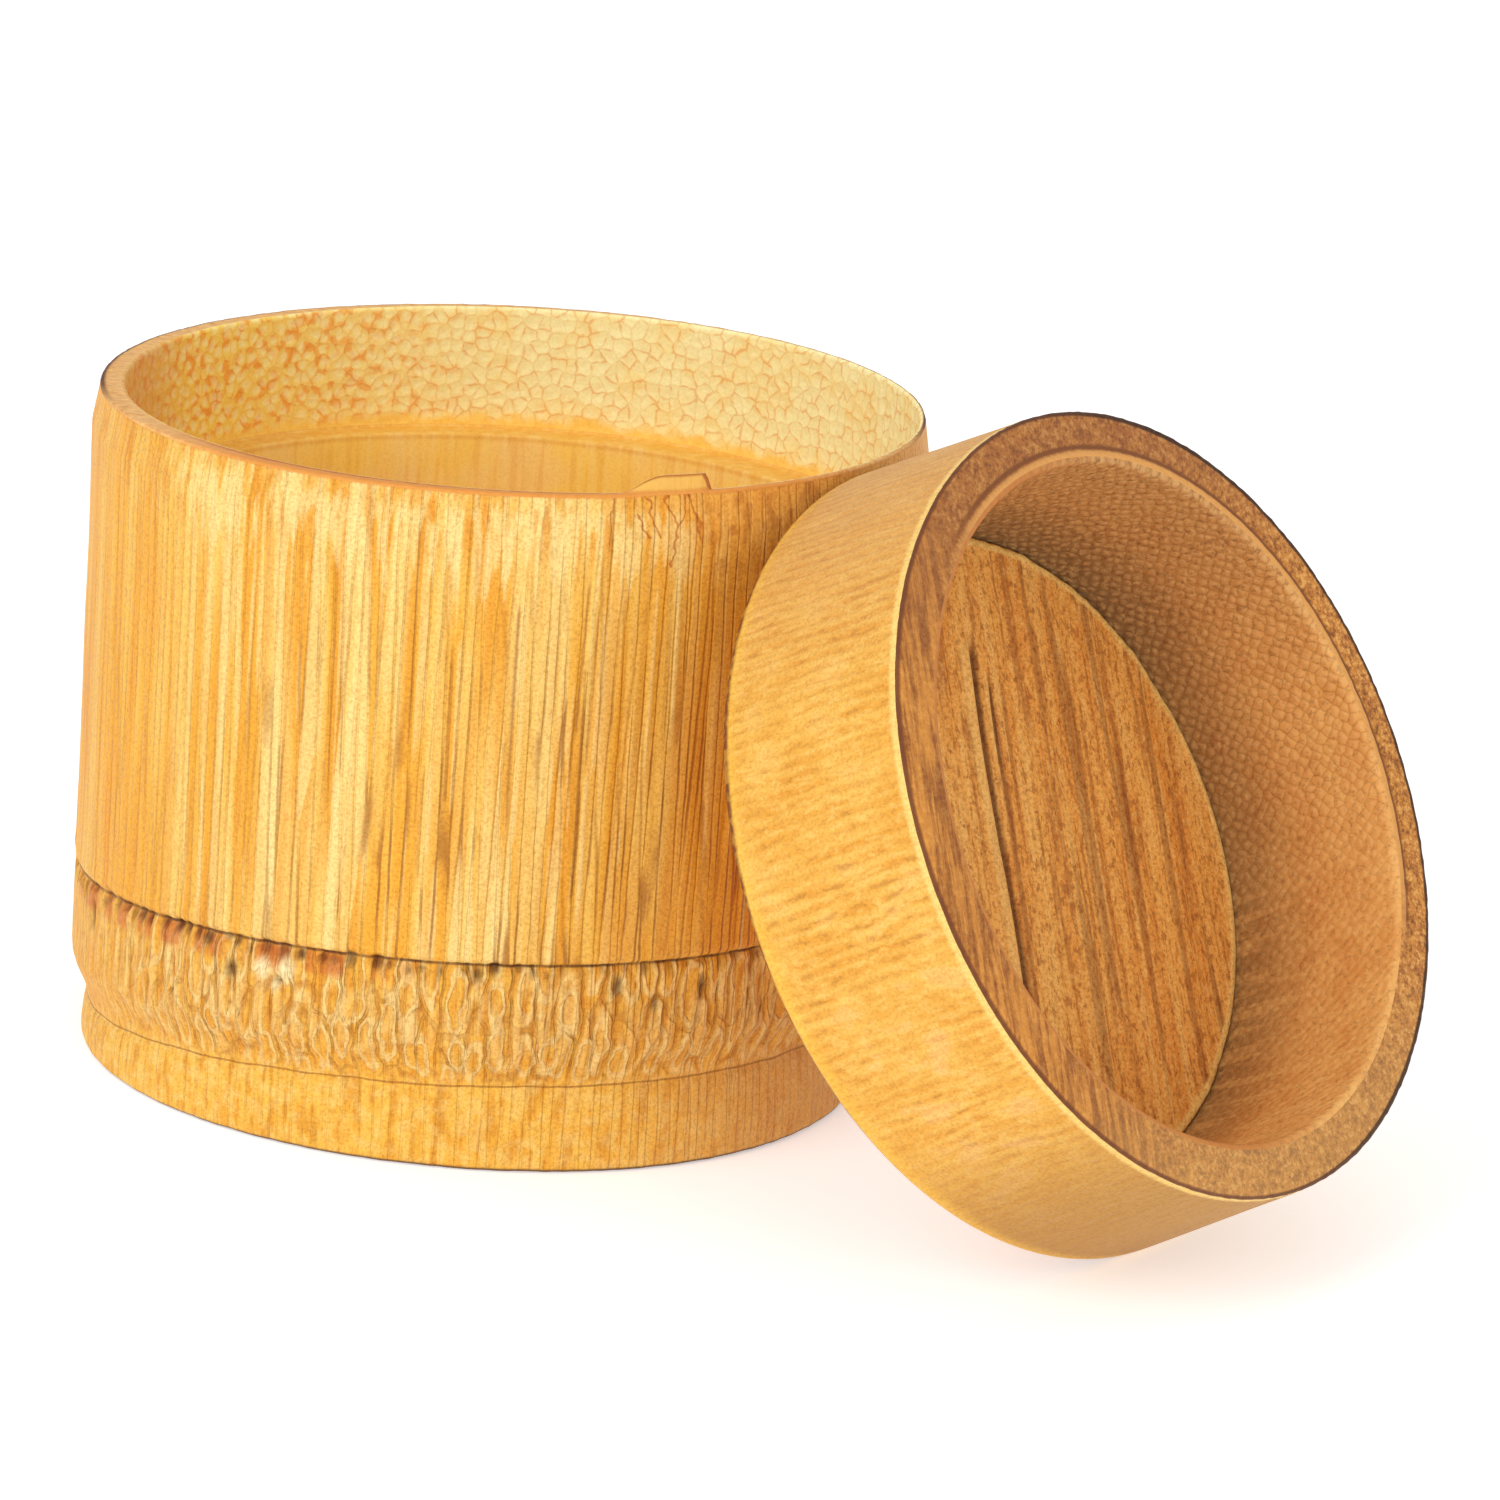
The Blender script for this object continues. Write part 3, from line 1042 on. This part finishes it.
def lid_ring(materials):
    """The lid's wall: fibred outside, ridged on its rim, with cells on its inner wall."""
    points, zone = section([
        (DISC_R, 0, 0.3 * MM, FACE, 0.9 * MM),
        (LID_FACE_R, 0, 0.6 * MM, ROUND, 0.4 * MM),
        (LID_R, LID_BEVEL, 0.8 * MM, SIDE, 1.3 * MM),
        (LID_OPEN_R, LID_H, 0.7 * MM, LID_RIM, 0.45 * MM),
        (LID_OPEN_BORE_R, LID_H, 0.8 * MM, INSIDE, 0.6 * MM),
        (DISC_R, DISC_T, 0, SEAT, MM),
    ])
    normals = outward(points)
    turn = np.linspace(0, 1, LID_COLUMNS, endpoint=False)[None]
    angle = turn * 2 * math.pi
    r, z, zone = points[:, :1], points[:, 1:], zone[:, None]
    side = (zone == SIDE) * ease((z - LID_BEVEL) / (2 * MM)) * ease((LID_H - MM - z) / MM)
    relief = side * (0.05 * swell(41, turn, z, 360, 9 * MM) + 0.05 * swell(42, turn, z, LID_ROWS, 14 * MM)
                     + 0.05 * swell(43, turn, z, 50, 20 * MM))
    inside = (zone == INSIDE) * ease((z - DISC_T) / MM) * ease((LID_H - z) / (4 * MM))
    relief = relief + 0.13 * inside * (cells(44, turn, z, 205, 1.25 * MM) - 0.4)
    rim = zone == LID_RIM
    upper = ease((np.sin(angle) + np.cos(angle)) * LID_R / (25 * MM))
    relief = relief + rim * (0.05 * swell(45, turn, r, 360, 0.9 * MM)
                             + 0.3 * upper * hill(r, LID_OPEN_BORE_R + MM, 0.6 * MM)
                             - 0.2 * upper * hill(r, LID_OPEN_BORE_R + 2.1 * MM, 0.5 * MM))
    radius = r + normals[:, :1] * relief * MM
    height = z + normals[:, 1:] * relief * MM
    local = points_at(radius * np.cos(angle), radius * np.sin(angle), height)
    grown = points_at(r * np.cos(angle), r * np.sin(angle), z)
    slot_of = {FACE: 1, LID_RIM: 1, INSIDE: 2, SEAT: 2}
    material_rows = [slot_of.get(int(k), 0) for k in zone[:, 0]]
    return grid_piece("lid_ring_wall", lid_place(local), grown, material_rows, materials)


def paint_lid_side():
    """Bright turned bamboo: fine rows along its axis with short brown dashes, pale at the open end."""
    p = Paint("bamboo_lid_side", roughness=0.48)
    wander = p.streaky(7 * MM, 0.5)
    across = p.math("PINGPONG", p.plus(p.turned(LID_ROWS), p.times(wander, 2.0)), 0.5)
    row = p.fall(across, 0.08, 0.3)
    dashes = p.streaky(0.9 * MM, 0.45, detail=1)
    soft = p.streaky(4 * MM, 0.6)
    p.ground(soft, srgb(230, 168, 66), srgb(238, 184, 84))
    patches = p.ramp(p.noise(9 * MM, detail=1), 0.38, 0.62, 0.35, 1.0)
    p.lay(srgb(244, 200, 108), patches, p.step(across, 0.3, 0.48, 0.3))
    p.lay(AMBER, patches, row, p.ramp(dashes, 0.35, 0.5, 0.1, 0.35))
    p.lay(srgb(168, 116, 46), patches, row, p.step(dashes, 0.54, 0.64, 0.4))
    p.lay(PALE, p.fall(dashes, 0.34, 0.44, 0.25))
    p.lay(srgb(244, 190, 130), p.step(soft, 0.56, 0.66), p.ramp(p.y, -20 * MM, 10 * MM, 0.3, 0.1))
    p.lay(ROSE, p.step(p.y, 20 * MM, 44 * MM, 0.45))
    p.lay(srgb(184, 134, 62), p.fall(p.y, -44 * MM, -25 * MM, 0.9))
    p.lay(srgb(250, 198, 74), p.fall(p.z, 1.5 * MM, 4 * MM, 0.6))
    p.lay(srgb(252, 216, 128), p.step(p.z, LID_H - 1.9 * MM, LID_H - 1.2 * MM, 0.8))
    dotted = p.ramp(p.noise(1.4 * MM, detail=1), 0.4, 0.6, 0.95, 0.6)
    edge = p.less(p.z, p.step(p.y, -8 * MM, 20 * MM, 0.9 * MM))
    p.lay(srgb(112, 46, 30), dotted, p.fall(edge, 0.8 * MM, 1.5 * MM))
    mottle = p.paper(0.6)
    return p.finish(p.less(p.times(mottle, 0.5), p.times(row, 0.5)), 0.12 * MM)


def paint_lid_rim():
    """The open rim's flat: grainy brown, streaked at the left, ridged inside at the top and right."""
    p = Paint("bamboo_lid_rim", roughness=0.62)
    radius = end_grain(p, srgb(204, 134, 58), srgb(186, 116, 50), srgb(108, 60, 32), srgb(240, 182, 104))
    c, s = math.cos(GRAIN_LEAN), math.sin(GRAIN_LEAN)
    over = p.less(p.times(p.x, c), p.times(p.y, s))
    along = p.plus(p.times(p.x, s), p.times(p.y, c))
    grain = p.flat(over, p.times(along, 0.1))
    streaks = p.noise(1.2 * MM, grain, detail=3, rough=0.65)
    left = p.fall(p.x, -34 * MM, -18 * MM)
    p.lay(p.mix(p.step(streaks, 0.38, 0.6), srgb(138, 76, 30), srgb(220, 146, 62)), left, 0.7)
    p.lay(srgb(138, 82, 50), p.step(p.y, 18 * MM, 42 * MM, 0.45))
    p.lay(srgb(206, 160, 96), p.fall(p.y, -44 * MM, -24 * MM, 0.35))
    upper = p.step(p.plus(p.x, p.y), 0.0, 25 * MM)
    ridge = p.band(radius, LID_OPEN_BORE_R + MM, 0.2 * MM, 0.6 * MM)
    trough = p.band(radius, LID_OPEN_BORE_R + 2.0 * MM, 0.1 * MM, 0.4 * MM)
    p.lay(srgb(222, 158, 86), upper, ridge)
    p.lay(srgb(132, 78, 40), upper, trough)
    right = p.step(p.x, -20 * MM, 25 * MM)
    edge = p.plus(radius, p.times(right, 0.75 * MM))
    edge_colour = p.mix(right, srgb(104, 56, 30), srgb(40, 22, 18))
    p.lay(edge_colour, p.step(edge, LID_OPEN_R - 0.35 * MM, LID_OPEN_R - 0.05 * MM, 0.9))
    return p.finish(p.noise(0.6 * MM, detail=3, rough=0.7), 0.25 * MM)


def paint_lid_inside():
    """The lid's inner wall: a faint slanting net, darker and dotted at the top and by the disc."""
    p = Paint("bamboo_lid_inside", roughness=0.6)
    round_it, up = p.turned(2 * math.pi * LID_OPEN_BORE_R), p.z
    slanting = p.flat(p.plus(round_it, up), p.less(up, round_it))
    place = p.shaken(slanting, 1.3 * MM, 2.5 * MM)
    middle, net = p.net(1.9 * MM, place, 0.5)
    top = p.step(p.y, 2 * MM, 34 * MM)
    deep = p.fall(p.z, DISC_T, DISC_T + 15 * MM)
    scaly = p.ramp(p.y, -30 * MM, 4 * MM, 0.15, 1.0)
    p.ground(p.noise(6 * MM), srgb(224, 156, 82), srgb(234, 172, 96))
    p.lay(srgb(172, 122, 72), top, 0.6)
    p.lay(srgb(118, 96, 64), deep, p.share(top, 0.6, 0.8))
    p.lay(srgb(222, 176, 116), scaly, p.fall(middle, 0.15, 0.45, 0.3))
    p.lay(srgb(120, 82, 46), scaly, p.fall(net, 0.02, 0.14, 0.3))
    streaks = p.streaky(1.5 * MM, 0.12)
    smooth = p.fall(scaly, 0.3, 0.8)
    p.lay(srgb(240, 186, 110), smooth, p.step(streaks, 0.52, 0.64, 0.4))
    specks = p.noise(0.7 * MM, rough=0.7)
    p.lay(srgb(112, 72, 40), p.fall(specks, 0.34, 0.46), p.share(top, 0.3, 0.5))
    p.lay(srgb(240, 190, 120), p.step(specks, 0.56, 0.68), 0.35)
    by_rim = p.step(p.z, LID_H - 2 * MM, LID_H - MM)
    p.lay(srgb(196, 122, 56), p.fall(p.x, -10 * MM, 10 * MM, 0.9), by_rim)
    return p.finish(middle, -0.25 * MM)


# ---------------- camera, light and floor

# The camera: its distance and height in culm radii, its turns in degrees, its lens and film in mm
CAMERA_AWAY, CAMERA_HIGH = 12.84, 4.6243
CAMERA_YAW, CAMERA_PITCH, CAMERA_ROLL = 2.79, 16.67, 4.355
LENS, FILM = 132, 36


def look_from():
    """The camera at the photograph's angle, placed by the culm's radius."""
    seat = (0, -CAMERA_AWAY * CULM_R, CAMERA_HIGH * CULM_R)
    yaw, pitch, roll = map(math.radians, (CAMERA_YAW, CAMERA_PITCH, CAMERA_ROLL))
    ahead = Vector((math.sin(yaw) * math.cos(pitch), math.cos(yaw) * math.cos(pitch), -math.sin(pitch)))
    right = Vector((math.cos(yaw), -math.sin(yaw), 0))
    up = right.cross(ahead)
    side = math.cos(roll) * right + math.sin(roll) * up
    top = math.cos(roll) * up - math.sin(roll) * right
    data = bpy.data.cameras.new("camera")
    data.lens, data.sensor_width = LENS, FILM
    camera = add("camera", data)
    turn = Matrix((side, top, -ahead)).transposed().to_4x4()
    camera.matrix_world = Matrix.Translation(seat) @ turn
    bpy.context.scene.camera = camera


def lamp(name, place, target, size, power):
    """A square lamp, size metres across, aimed at target."""
    data = bpy.data.lights.new(name, "AREA")
    data.shape, data.size, data.energy = "SQUARE", size, power
    made = add(name, data)
    made.location = place
    made.rotation_mode = "QUATERNION"
    made.rotation_quaternion = (Vector(target) - Vector(place)).to_track_quat("-Z", "Y")


# The lamps' places and powers, the sky's strength, and how pale the floor is and how it glows
KEY_PLACE, FILL_PLACE = (-0.75, -0.75, 0.85), (0.6, -1.1, 0.5)
KEY_WATTS, FILL_WATTS, SKY = 6.2, 3.0, 0.74
FLOOR_WHITE, FLOOR_GLOW = 0.8, 0.46


def studio():
    """A soft key lamp from the left in front, a weaker fill, and a pale floor."""
    middle = (0.03, -0.02, 0.05)
    lamp("key", KEY_PLACE, middle, 0.7, KEY_WATTS)
    lamp("fill", FILL_PLACE, middle, 1.0, FILL_WATTS)
    world = bpy.data.worlds.new("studio")
    bpy.context.scene.world = world
    world.use_nodes = True
    sky = world.node_tree.nodes["Background"].inputs
    sky["Color"].default_value = (1, 1, 1, 1)
    sky["Strength"].default_value = SKY
    half = 4
    mesh = bpy.data.meshes.new("floor")
    mesh.from_pydata([(-half, -half, 0), (half, -half, 0), (half, half, 0), (-half, half, 0)], [],
                     [(0, 1, 2, 3)])
    floor = add("floor", mesh)
    paper = bpy.data.materials.new("paper")
    paper.use_nodes = True
    inputs = paper.node_tree.nodes["Principled BSDF"].inputs
    inputs["Base Color"].default_value = (FLOOR_WHITE, FLOOR_WHITE, FLOOR_WHITE, 1)
    inputs["Roughness"].default_value = 0.9
    inputs["Specular IOR Level"].default_value = 0.1
    inputs["Emission Color"].default_value = (1, 1, 1, 1)
    inputs["Emission Strength"].default_value = FLOOR_GLOW
    mesh.materials.append(paper)
    bpy.context.scene.view_settings.view_transform = "Standard"


# ---------------- the scene

def stand_for(piece, node, body):
    """A detailed piece takes a CAD node's place."""
    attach(piece, body)
    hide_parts(node)


look_from()
studio()

cup = cup_tube([paint_cup_wall(), paint_cup_rim(), paint_mouth(), paint_bore()])
lid = lid_ring([paint_lid_side(), paint_lid_rim(), paint_lid_inside()])
stand_for(cup, "cup_tube", "cup")
stand_for(cup_floor(paint_floor()), "cup_floor", "cup")
stand_for(lid, "lid_ring", "lid")
stand_for(lid_disc(paint_disc()), "lid_disc", "lid")
